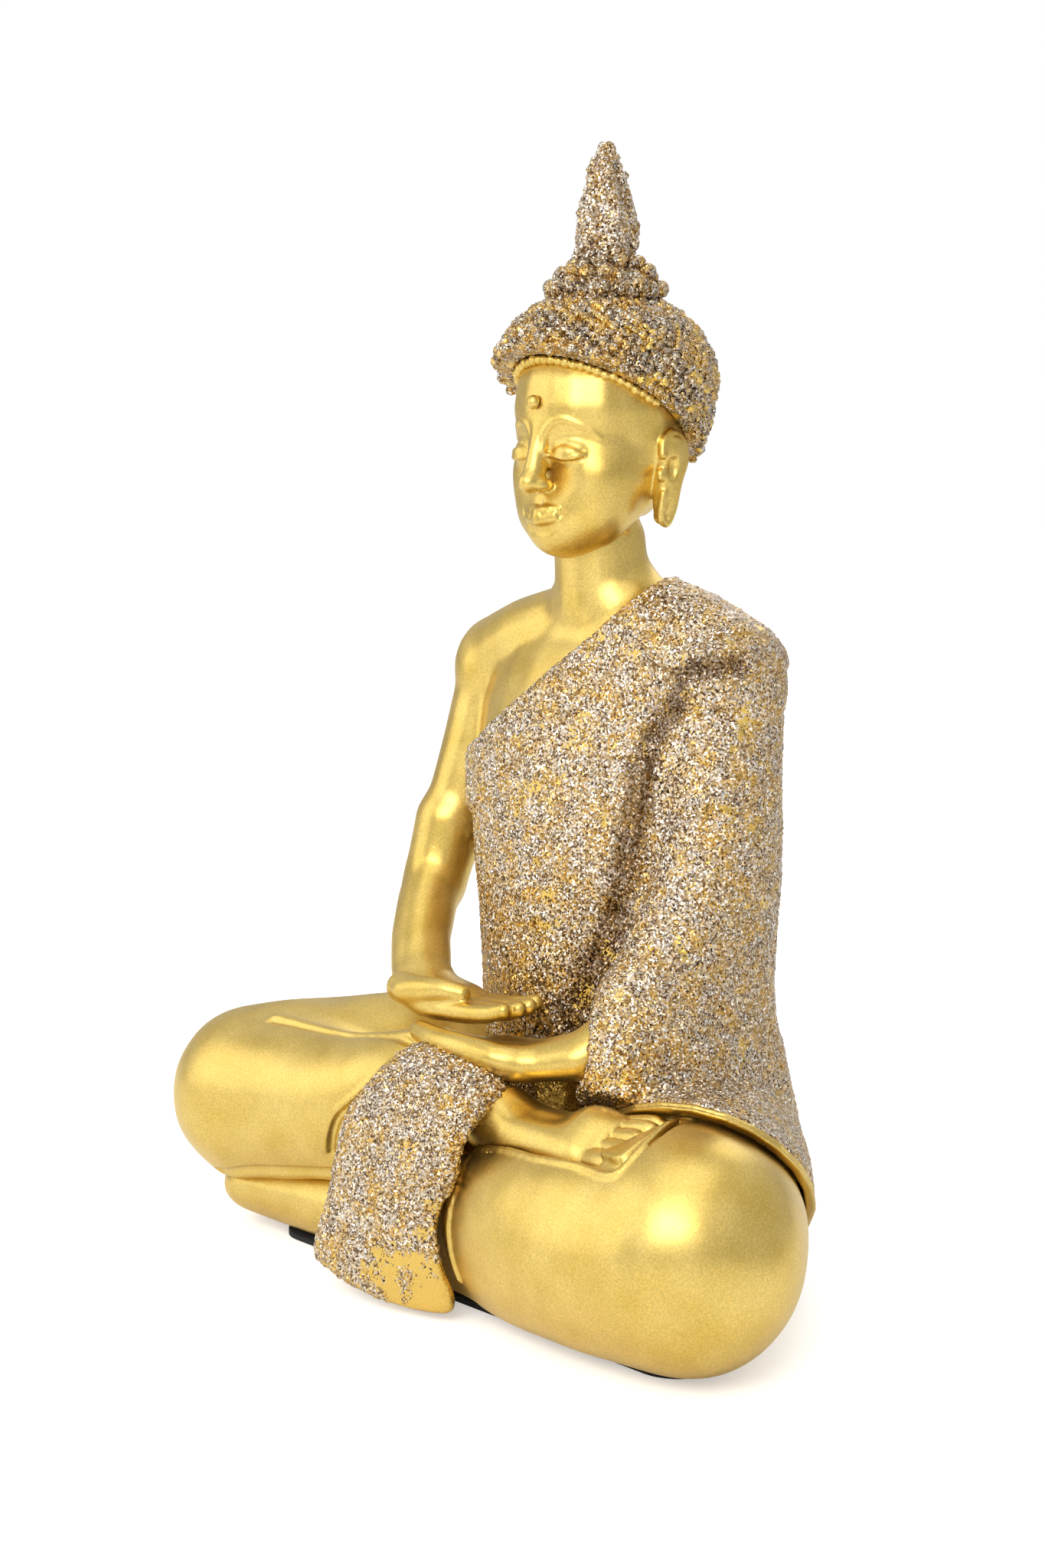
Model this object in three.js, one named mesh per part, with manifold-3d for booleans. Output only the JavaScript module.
// Seated meditation figure, cast in gold-painted polyresin, with glitter-coated hair, robe and lap cloth.
// Millimetres, +Z up. The figure faces -Y and its own left side is +X. The origin is on the surface it stands
// on, straight below the neck.
import * as THREE from "three";
import { mergeVertices } from "three/addons/utils/BufferGeometryUtils.js";
import Module from "manifold-3d";

const wasm = await Module();
wasm.setup();

// ---- Driving dimensions ----
const HEIGHT = 300; // felt to the tip of the flame
const KNEE_X = 84; // centre of each knee, out from the middle
const KNEE_Y = -54; // and forward of the neck
const KNEE_R = 27; // left knee
const SHOULDER = { x: 43, y: 2, z: 159 }; // centre of each shoulder
const HIP = { x: 27, y: 8 };
const SKULL_Z = 231; // middle of the skull
const NECK_Z = 194; // where the head casting meets the neck
const CROWN_Z = 259; // where the ushnisha sits on the hair
const FLAME_Z = 268; // foot of the flame
const FELT_T = 1.5;
const PLATE_T = 3;
const WALL = 5; // cast wall
const CLOTH = 2.4; // robe over the body
const GAP = 0.3; // glue line between neighbouring pieces
const FLOOR_Z = FELT_T + GAP; // underside of the castings

// ---- Solids from three.js geometry ----

// A three.js geometry as a manifold-3d solid facing out.
function solid(geometry) {
  const g = geometry.clone();
  g.deleteAttribute("normal");
  g.deleteAttribute("uv");
  const merged = mergeVertices(g, 1e-4);
  const vertProperties = new Float32Array(merged.attributes.position.array);
  const triVerts = new Uint32Array(merged.index.array);
  const make = () => new wasm.Manifold(new wasm.Mesh({ numProp: 3, vertProperties, triVerts }));
  const made = make();
  if (made.volume() >= 0) return made;
  for (let i = 0; i < triVerts.length; i += 3) {
    [triVerts[i], triVerts[i + 1]] = [triVerts[i + 1], triVerts[i]];
  }
  return make();
}

const join = (...solids) => solids.reduce((a, b) => a.add(b));
const cut = (body, ...tools) => tools.reduce((a, b) => a.subtract(b), body);
const largest = (body) => body.decompose().sort((a, b) => b.volume() - a.volume())[0];

// A round-ended body swept along a smooth curve: the rings of a sphere laid along it.
// Each station is [x, y, z, a, b]: a is the half-size along the direction `lean`, b the half-size across it.
const UP = [0, 0, 1];
const SIDEWAYS = [1, 0, 0];

function sweep(stations, { grow = 0, lean = UP, around = 14, along = 5, cap = 3 } = {}) {
  const curve = new THREE.CatmullRomCurve3(stations.map(([x, y, z]) => new THREE.Vector3(x, y, z)));
  const sizes = new THREE.CatmullRomCurve3(stations.map(([, , , a, b]) => new THREE.Vector3(a, b, 0)));
  const rows = along + 2 * cap;
  const rings = new THREE.SphereGeometry(1, around, rows);
  const position = rings.attributes.position;
  const hint = new THREE.Vector3(...lean);
  for (let row = 0; row <= rows; row++) {
    const u = THREE.MathUtils.clamp((row - cap) / along, 0, 1);
    const capTurn = row < cap ? row - cap : Math.max(0, row - cap - along);
    const angle = ((capTurn / cap) * Math.PI) / 2;
    const size = sizes.getPoint(u);
    const [a, b] = [size.x + grow, size.y + grow];
    const tangent = curve.getTangent(u);
    const first = hint.clone().addScaledVector(tangent, -hint.dot(tangent)).normalize();
    const second = tangent.clone().cross(first);
    const centre = curve.getPoint(u).addScaledVector(tangent, Math.sin(angle) * Math.min(a, b));
    for (let column = 0; column <= around; column++) {
      const turn = ((column % around) / around) * 2 * Math.PI;
      const point = centre
        .clone()
        .addScaledVector(first, Math.cos(turn) * Math.cos(angle) * a)
        .addScaledVector(second, Math.sin(turn) * Math.cos(angle) * b);
      position.setXYZ(row * (around + 1) + column, point.x, point.y, point.z);
    }
  }
  return solid(rings);
}

function ball([x, y, z], [rx, ry, rz], grow = 0, [around, rows] = [18, 11]) {
  const geometry = new THREE.SphereGeometry(1, around, rows).rotateX(Math.PI / 2);
  return solid(geometry.scale(rx + grow, ry + grow, rz + grow).translate(x, y, z));
}

function rod([x, y, z], radius, length) {
  const geometry = new THREE.CylinderGeometry(radius, radius, length, 20);
  return solid(geometry.rotateX(Math.PI / 2).translate(x, y, z));
}

// A body turned about a vertical axis at (0, y), from [radius, z] points that start and end on the axis.
function turned(profile, y, segments = 24) {
  const points = profile.map(([r, z]) => new THREE.Vector2(r, z));
  return solid(new THREE.LatheGeometry(points, segments).rotateX(Math.PI / 2).translate(0, y, 0));
}

// Everything beyond the plane through `point`, on the side that `normal` points to, moved `shift` along it.
const ROOM = 400; // larger than the figure
function beyond({ point, normal }, shift = 0) {
  const direction = new THREE.Vector3(...normal).normalize();
  const turn = new THREE.Quaternion().setFromUnitVectors(new THREE.Vector3(0, 0, 1), direction);
  const centre = new THREE.Vector3(...point).addScaledVector(direction, ROOM / 2 + shift);
  return solid(new THREE.BoxGeometry(ROOM, ROOM, ROOM).applyQuaternion(turn).translate(...centre));
}

const level = (z) => ({ point: [0, 0, z], normal: UP });
const aboveFloor = (body) => body.intersect(beyond(level(FLOOR_Z)));

// The outline that wraps circles [x, y, r] given anticlockwise, each drawn in by `inset`.
function wrapped(circles, inset) {
  const shape = new THREE.Shape();
  const count = circles.length;
  const normalFrom = (i) => {
    const [x0, y0, r0] = circles[(i + count) % count];
    const [x1, y1, r1] = circles[(i + 1) % count];
    return Math.atan2(y1 - y0, x1 - x0) - Math.acos((r0 - r1) / Math.hypot(x1 - x0, y1 - y0));
  };
  circles.forEach(([x, y, r], i) => shape.absarc(x, y, r - inset, normalFrom(i - 1), normalFrom(i), false));
  return shape;
}

// Where the figure meets the surface it stands on.
const FOOTPRINT = [
  [KNEE_X - 8, KNEE_Y + 4, 11],
  [20, 9, 22],
  [-20, 9, 22],
  [-62, KNEE_Y + 6, 11],
];

const sheet = (inset, z, thickness) => {
  const options = { depth: thickness, bevelEnabled: false, curveSegments: 6 };
  return solid(new THREE.ExtrudeGeometry(wrapped(FOOTPRINT, inset), options).translate(0, 0, z));
};

// A cast hollow: the body shrunk by the wall, and a well up to it from the underside.
const FINE = { around: 24, along: 8, cap: 4 };
const COARSE = { around: 8, along: 3, cap: 2 };
const WELL_INSET = 9;
const WELL_TOP = 9;
const hollowed = (shape) => aboveFloor(cut(shape(0), shape(-WALL, COARSE), sheet(WELL_INSET, 0, WELL_TOP)));

// ---- Legs, folded one over the other: each is a thigh out to the knee and a shin back across ----

const leftThigh = (grow, facets = FINE) =>
  sweep(
    [
      [HIP.x, HIP.y, 32, 30, 27],
      [58, -24, 31, 30, 27.5],
      [KNEE_X, KNEE_Y, 30.5, 29.5, KNEE_R],
    ],
    { grow, ...facets },
  );

const leftShin = (grow, facets = FINE) =>
  sweep(
    [
      [KNEE_X, KNEE_Y - 1, 29.5, 28, 26],
      [50, -62, 26.5, 25, 19],
      [16, -60.5, 22, 19.5, 12.5],
      [-16, -56, 16, 13, 10],
    ],
    { grow, ...facets },
  );

const rightThigh = (grow, facets = FINE) =>
  sweep(
    [
      [-HIP.x, HIP.y, 34, 31, 27],
      [-58, -24, 37, 27.5, 26.5],
      [-KNEE_X, KNEE_Y, 38, 24.5, 25],
    ],
    { grow, ...facets },
  );

const rightShin = (grow, facets = FINE) =>
  sweep(
    [
      [-KNEE_X, KNEE_Y - 1, 38, 23.5, 23.5],
      [-46, -58, 43, 18.5, 15.5],
      [-20, -56.5, 48, 15.5, 12.5],
      [8, -54, 50, 10, 10],
    ],
    { grow, ...facets },
  );

const leftLeg = (grow, facets) => join(leftThigh(grow, facets), leftShin(grow, facets));
const rightLeg = (grow, facets) => join(rightThigh(grow, facets), rightShin(grow, facets));

// The left foot lies under the right shin with its outer edge forward.
const leftFoot = (grow) =>
  sweep(
    [
      [-14, -46, 14, 13, 17],
      [-48, -48, 13.5, 13, 17.5],
      [-86, -52, 11.5, 9.5, 14],
    ],
    { grow },
  );

// The right foot lies on the left thigh, its sole turned up and forward.
const SOLE_LEAN = [0, -0.5, 0.87];
const rightFoot = (grow) =>
  sweep(
    [
      [14, -54.5, 49.5, 7.5, 8.5],
      [34, -55, 49.3, 6, 8],
      [52, -54.8, 49.8, 6, 10],
      [66, -54.5, 50, 4.5, 10.5],
    ],
    { grow, lean: SOLE_LEAN, around: 12 },
  );

const pelvis = (grow, facets = FINE) => ball([0, 8, 31], [44, 27, 32], grow, [facets.around, 9]);

// ---- Torso, neck and arms ----

// Stations up the trunk: half-width, then half-depth.
const TRUNK = [
  [0, 5, 44, 38, 27],
  [0, 1, 66, 36.5, 26],
  [0, -1, 88, 36, 25],
  [0, -1, 112, 39, 26],
  [0, 0, 136, 42, 25.5],
  [0, 2, 158, 42, 20.5],
  [0, 3, 169, 36, 16.5],
  [0, 2, 178, 24.5, 14],
  [0, 0, 187, 13.8, 13.2],
];

const trunk = (grow, facets = { around: 24, along: 14 }) =>
  sweep(TRUNK, { grow, lean: SIDEWAYS, cap: 2, ...facets });

const shoulder = (side, grow) =>
  join(
    ball([side * SHOULDER.x, SHOULDER.y, SHOULDER.z], [13.5, 14, 15.5], grow, [16, 9]),
    sweep(
      [
        [side * 10, 2, 172, 13, 13],
        [side * 28, 2, 168, 12.5, 14],
        [side * SHOULDER.x, SHOULDER.y, 161.5, 12.5, 13],
      ],
      { grow, around: 14, along: 4, cap: 2 },
    ),
  );

// The right elbow stands out from the body; the left one is close to it, inside the sleeve.
const RIGHT_ELBOW = [-52.5, -12, 106];
const LEFT_ELBOW = [45.5, -5, 106];
const upperArm = ([x, y, z], grow) =>
  sweep(
    [
      [Math.sign(x) * (SHOULDER.x + 1), SHOULDER.y, 155, 12, 12.5],
      [x * 0.9, y / 3, 132, 10.8, 11.4],
      [x, y, z, 9.3, 9.3],
    ],
    { grow, lean: SIDEWAYS, around: 14, along: 5, cap: 2 },
  );

const neck = (grow) =>
  sweep(
    [
      [0, 0, 178, 14, 13.5],
      [0, -1, 188, 12.8, 12.8],
      [0, -2, NECK_Z + 4, 12.5, 12.5],
    ],
    { grow, lean: SIDEWAYS, along: 3, cap: 2 },
  );

const leftArm = (grow) => join(shoulder(1, grow), upperArm(LEFT_ELBOW, grow));
const rightArm = (grow) => join(shoulder(-1, grow), upperArm(RIGHT_ELBOW, grow));
const torso = (grow) => join(trunk(grow), neck(grow), leftArm(grow), rightArm(grow));

// Forearm and hand: the wrist, the palm and the four fingers side by side, then the thumb.
const FINGERS = 4;
const FINGER_PITCH = 4.6;
const FINGER = { around: 6, along: 2, cap: 2 };

function hand(stations, [tipX, tipY, tipZ], thumb, grow) {
  const [palmX, palmY, palmZ] = stations[stations.length - 1];
  const fingers = [...Array(FINGERS).keys()].map((i) => {
    const across = (i - (FINGERS - 1) / 2) * FINGER_PITCH;
    const reach = 1 - 0.05 * Math.abs(i - 1.4);
    const root = [palmX, palmY + across, palmZ, 2.6, 2.6];
    const knuckleX = palmX + (tipX - palmX) * 0.55;
    const knuckle = [knuckleX, (palmY + tipY) / 2 + across, (palmZ + tipZ) / 2, 2.6, 2.5];
    const tip = [palmX + (tipX - palmX) * reach, tipY + across, tipZ, 1.9, 2];
    return sweep([root, knuckle, tip], { grow, ...FINGER });
  });
  const forearm = sweep(stations, { grow, around: 12, along: 6, cap: 2 });
  return join(forearm, ...fingers, sweep(thumb, { grow, ...FINGER }));
}

// The right hand lies on the left one, palm up, with its fingers towards +X.
const rightForearm = (grow) =>
  hand(
    [
      [-52.5, -14, 102, 9, 9],
      [-44, -27, 90, 8.4, 8.6],
      [-31, -39, 79, 6.6, 8.6],
      [-20, -44, 75, 4.8, 10],
      [-9, -45, 74, 4.2, 10],
    ],
    [16, -43, 76],
    [
      [-22, -54, 77, 3.3, 3.2],
      [-12, -52.5, 79.5, 2.8, 2.8],
      [-3, -49, 79.5, 2.2, 2.3],
    ],
    grow,
  );

const leftForearm = (grow) =>
  hand(
    [
      [45.5, -8, 98, 9, 9],
      [44, -26, 80, 8.6, 9],
      [34, -41, 67, 6.8, 9.2],
      [16, -46, 64, 5, 10.4],
      [4, -46, 63, 4.3, 10.2],
    ],
    [-24, -46, 62],
    [
      [17, -56, 66, 3.2, 3.2],
      [0, -56.5, 67.5, 2.7, 2.7],
      [-14, -54.5, 68.5, 2.2, 2.2],
    ],
    grow,
  );

// ---- Head: an egg-shaped skull, a tapering jaw and plain features on the classical thirds ----

const SKULL_Y = -1;
const SKULL_R = [22.5, 25, 25];
const HEAD_RATIO = 7 / 5; // a classical head is five eyes wide and seven high
const HAIRLINE_Z = 243;
const CHIN_Z = SKULL_Z + SKULL_R[2] - HEAD_RATIO * 2 * SKULL_R[0];
const THIRD = (HAIRLINE_Z - CHIN_Z) / 3; // hairline to brow, brow to nose, nose to chin
const NOSE_Z = CHIN_Z + THIRD;
const BROW_Z = CHIN_Z + 2 * THIRD;

const skull = (grow) => ball([0, SKULL_Y, SKULL_Z], SKULL_R, grow, [18, 10]);

const jaw = (grow) =>
  sweep(
    [
      [0, -2, SKULL_Z - 6, 21.5, 22.5],
      [0, -5, NOSE_Z + 1, 18.8, 18.8],
      [0, -9, CHIN_Z + 10, 11.5, 12],
    ],
    { grow, lean: SIDEWAYS, around: 14, along: 4 },
  );

const nose = (grow) =>
  sweep(
    [
      [0, -23.5, BROW_Z - 3, 1.8, 1.8],
      [0, -25.2, (BROW_Z + NOSE_Z) / 2, 2.2, 2.2],
      [0, -25.4, NOSE_Z + 2, 3.2, 2.6],
    ],
    { grow, lean: SIDEWAYS, around: 8, along: 3, cap: 2 },
  );

const ear = (side, grow) =>
  sweep(
    [
      [side * 22.5, 3, BROW_Z - 4, 2.4, 5.6],
      [side * 21.5, 3, NOSE_Z + 1, 2.2, 4.2],
      [side * 19.5, 1.5, CHIN_Z + 9, 2.4, 3.2],
    ],
    { grow, lean: SIDEWAYS, around: 10, along: 4, cap: 2 },
  );

// The round mark between the brows sits on the curve of the skull.
const URNA_Z = BROW_Z + 6;
const URNA_Y = SKULL_Y - SKULL_R[1] * Math.sqrt(1 - ((URNA_Z - SKULL_Z) / SKULL_R[2]) ** 2);

const head = (grow) => join(skull(grow), jaw(grow), nose(grow), ear(1, grow), ear(-1, grow));

// The hair is a cap over the skull that opens for the face in front of the ears.
const HAIRLINE_FRONT = -22;
const HAIRLINE_SLOPE = 0.575; // rise per millimetre forward
const HAIRLINE = { point: [0, HAIRLINE_FRONT, HAIRLINE_Z], normal: [0, -HAIRLINE_SLOPE, -1] };
const SIDEBURN = { point: [0, -2, 0], normal: [0, -1, 0] };
const hairShape = (grow) =>
  join(
    ball([0, -0.5, 238], [28, 31, 23.5], grow, [18, 10]),
    sweep([[0, 4, 226, 25.5, 25], [0, 8, 207, 16.5, 16]], { grow, lean: SIDEWAYS, around: 16, along: 4 }),
  );

// The band of beads lies on the skull along the hairline, from temple to temple.
const BAND_R = 1.2;
const BAND_POINTS = 8;
function hairlineBand(grow) {
  const [halfWidth, halfDepth, halfHeight] = SKULL_R;
  const stations = [...Array(BAND_POINTS + 1).keys()].map((i) => {
    const turn = (i / BAND_POINTS - 0.5) * 0.92 * Math.PI;
    const y = SKULL_Y + (HAIRLINE_FRONT - SKULL_Y - 1) * Math.cos(turn);
    const z = HAIRLINE_Z - HAIRLINE_SLOPE * (y - HAIRLINE_FRONT);
    const inside = 1 - ((y - SKULL_Y) / halfDepth) ** 2 - ((z - SKULL_Z) / halfHeight) ** 2;
    return [Math.sign(turn) * (halfWidth + 0.4) * Math.sqrt(Math.max(inside, 0)), y - 0.7, z, BAND_R, BAND_R];
  });
  return sweep(stations, { grow, around: 8, along: 16, cap: 2 });
}
const temples = (grow) => beyond(SIDEBURN, -grow).subtract(beyond(level(HAIRLINE_Z)));
const hairline = (grow) => join(beyond(HAIRLINE, -grow), temples(grow));

// ---- Cloth ----

// The robe's neckline runs from the left of the neck to under the right arm; the sash is the band below it.
const NECKLINE = { point: [0, 0, 171], normal: [-0.55, -0.33, 0.77] };
const SASH_WIDTH = 13;

// The robe's lower edge crosses the left thigh from the wrist to the floor.
const THIGH_EDGE = { point: [52, -48, 63], normal: [-0.13, 0.63, 0.77] };
const EDGE_WIDTH = 3;
const EDGE_T = 2.6;

// The sash lies folded over the left shoulder; the sleeve starts below the fold.
const FOLD_Z = 165;
const SASH_T = 1.6;
const foldOverShoulder = (grow) =>
  join(
    sweep(
      [
        [16, 2, 174, 11, 12.5],
        [32, 3, 170.5, 12.5, 14.5],
        [45, 2, 164, 12, 15.5],
      ],
      { grow, around: 14, along: 4 },
    ),
    shoulder(1, CLOTH + SASH_T + grow),
  ).intersect(beyond(level(FOLD_Z - grow)));

const backCloth = (grow) =>
  sweep(
    [
      [0, 4, 96, 37, 26],
      [0, 6, 66, 40, 28.5],
      [0, 7, 36, 46, 30],
      [0, 7, 20, 47, 30.5],
    ],
    { grow, lean: SIDEWAYS, around: 24, along: 6, cap: 3 },
  );

// The sleeve falls from the left arm over the thigh to the hip.
const sleeve = (grow) =>
  sweep(
    [
      [42, 3, 157, 14.8, 15.5],
      [44, 0, 137, 14.3, 16],
      [45, -2, 112, 14.3, 18],
      [43.5, -8, 88, 15, 25],
      [43, -13, 68, 17.5, 34],
      [46, -13, 46, 20, 34],
      [50, -8, 24, 21, 31],
    ],
    { grow, lean: SIDEWAYS, around: 24, along: 12, cap: 3 },
  );

// The lap cloth hangs from under the hands, over the crossed shins, to the floor.
const LAP_LEAN = [0.16, -0.5, 0.86]; // its own left edge lies further back
const lapDrape = (grow) =>
  sweep(
    [
      [8, -54, 61, 5, 17],
      [6, -63, 59.5, 5.5, 19],
      [1, -71.5, 48, 5.5, 23],
      [-2, -74.5, 29, 5.5, 22],
      [-4, -75.5, 13, 5.5, 24.5],
      [-5, -75.5, 2, 5.5, 26],
    ],
    { grow, lean: LAP_LEAN, around: 18, along: 9, cap: 2 },
  );

// ---- Base ----

const PLATE_INSET = 6;
const basePlate = (grow) => sheet(PLATE_INSET - grow, FLOOR_Z - grow, PLATE_T + 2 * grow);

// ---- Fixings ----

const NECK_DOWEL = { at: [0, -1, NECK_Z - 2], radius: 3, length: 36 };
const FINIAL_PIN = { at: [0, 0, FLAME_Z - 3], radius: 1.2, length: 32 };
const pinAt = ({ at, radius, length }, grow) => rod(at, radius + grow, length + 2 * grow);

// ---- Colours ----

function paint(color, roughness, metalness) {
  return new THREE.MeshStandardMaterial({ color, roughness, metalness });
}
const GOLD = paint(0xd4af45, 0.35, 0.9);
const GLITTER = paint(0xc9b08a, 0.5, 0.7);
const FELT = paint(0x15151a, 0.95, 0);
const RESIN = paint(0xe6e1d6, 0.7, 0);
const STEEL = paint(0x9a9ca0, 0.35, 1);

const figure = new THREE.Group();

function piece(name, body, material) {
  const { vertProperties, triVerts } = largest(body).getMesh();
  const geometry = new THREE.BufferGeometry();
  geometry.setAttribute("position", new THREE.BufferAttribute(vertProperties, 3));
  geometry.setIndex(new THREE.BufferAttribute(triVerts, 1));
  const mesh = new THREE.Mesh(geometry, material);
  mesh.name = name;
  figure.add(mesh);
}

// ---- Assembly: each piece is cut back from the ones it lies on ----

const plateSpace = basePlate(GAP);
const legsSpace = join(leftLeg(GAP), rightLeg(GAP), leftFoot(GAP), rightFoot(GAP));
const torsoSpace = torso(GAP);
const handsSpace = join(leftForearm(GAP), rightForearm(GAP));
const headSpace = head(GAP);
const dowelSpace = pinAt(NECK_DOWEL, GAP);
const pinSpace = pinAt(FINIAL_PIN, GAP);

// Base
piece("base_felt", sheet(0, 0, FELT_T), FELT);
piece("base_plate", basePlate(0), RESIN);

// Legs and seat
piece("left_leg", cut(hollowed(leftLeg), plateSpace, rightFoot(GAP), leftFoot(GAP)), GOLD);
piece("left_foot", aboveFloor(cut(leftFoot(0), plateSpace)), GOLD);
piece("right_leg", cut(hollowed(rightLeg), plateSpace, leftLeg(GAP), leftFoot(GAP), rightFoot(GAP)), GOLD);
piece("right_foot", rightFoot(0), GOLD);
piece("seat", cut(hollowed(pelvis), plateSpace, legsSpace), GOLD);

// Torso and arms: the trunk is hollow and open at the waist, where it stands on the seat.
const WAIST = level(44);
const trunkCore = trunk(-WALL, COARSE).translate(0, 0, -1);
const torsoCasting = cut(torso(0), trunkCore, dowelSpace, handsSpace, legsSpace, pelvis(GAP));
piece("torso", torsoCasting.intersect(beyond(WAIST)), GOLD);
piece("right_forearm", cut(rightForearm(0), leftForearm(GAP), legsSpace), GOLD);
piece("left_forearm", cut(leftForearm(0), legsSpace), GOLD);

// Head
const neckSpace = torsoSpace.intersect(beyond(level(170)));
piece("head", cut(head(0), neckSpace, dowelSpace, pinSpace), GOLD);
piece("neck_dowel", pinAt(NECK_DOWEL, 0), STEEL);
piece("urna", cut(ball([0, URNA_Y, URNA_Z], [2, 2.2, 2], 0, [12, 8]), headSpace), GOLD);

piece("hairline_beads", cut(hairlineBand(0), headSpace), GOLD);
const hairClear = [headSpace, hairlineBand(GAP), hairline(0), beyond(level(CROWN_Z)), torsoSpace, pinSpace];
piece("hair_cap", cut(hairShape(0), ...hairClear), GLITTER);

const USHNISHA = [
  [0, CROWN_Z + GAP],
  [15, CROWN_Z + GAP],
  [14.6, 262],
  [11.5, 265.5],
  [8, FLAME_Z - GAP],
  [0, FLAME_Z - GAP],
];
piece("ushnisha", cut(turned(USHNISHA, 0), pinSpace), GLITTER);

const FLAME = [
  [0, FLAME_Z],
  [6.4, FLAME_Z],
  [7.2, 270],
  [8, 275],
  [7.4, 281],
  [5.6, 288],
  [3.6, 294.5],
  [2, HEIGHT - 1],
  [0, HEIGHT],
];
piece("flame_finial", cut(turned(FLAME, 0), pinSpace), GLITTER);
piece("finial_pin", pinAt(FINIAL_PIN, 0), STEEL);

// Robe
const bodySpace = join(torsoSpace, legsSpace, handsSpace, pelvis(GAP));
const overNeckline = beyond(NECKLINE);
const underNeckline = (body) => body.subtract(overNeckline);

const sashShape = (grow) =>
  join(trunk(CLOTH + SASH_T + grow).intersect(beyond(NECKLINE, -SASH_WIDTH - grow)), foldOverShoulder(grow));
piece("shoulder_sash", cut(underNeckline(sashShape(0)), torsoSpace, headSpace), GLITTER);

const sashSpace = underNeckline(sashShape(GAP));
const robeShape = join(underNeckline(trunk(CLOTH)), backCloth(0));
const sleeveSpace = join(sleeve(GAP), leftArm(CLOTH + GAP));
piece("robe_body", aboveFloor(cut(robeShape, bodySpace, plateSpace, sashSpace, sleeveSpace)), GLITTER);

const robeSpace = join(bodySpace, plateSpace, sashSpace);
const sleeveShape = join(sleeve(0), leftArm(CLOTH), leftThigh(EDGE_T)).intersect(beyond(THIGH_EDGE));
const behindRobe = cut(join(trunk(CLOTH + GAP), backCloth(GAP)), sleeve(0), leftArm(CLOTH));
const sleeveTop = beyond(level(FOLD_Z - GAP));
piece("sleeve_drape", aboveFloor(cut(sleeveShape, sleeveTop, robeSpace, behindRobe)), GLITTER);

const edgeBand = beyond(THIGH_EDGE, -EDGE_WIDTH).subtract(beyond(THIGH_EDGE, -GAP));
const hemClear = [robeSpace, backCloth(GAP), trunk(CLOTH + GAP)];
piece("sleeve_hem", aboveFloor(cut(leftThigh(EDGE_T).intersect(edgeBand), ...hemClear)), GOLD);

const drapeClear = [legsSpace, handsSpace, sleeve(GAP), plateSpace];
piece("lap_drape", aboveFloor(cut(lapDrape(0), ...drapeClear)), GLITTER);

export default figure;
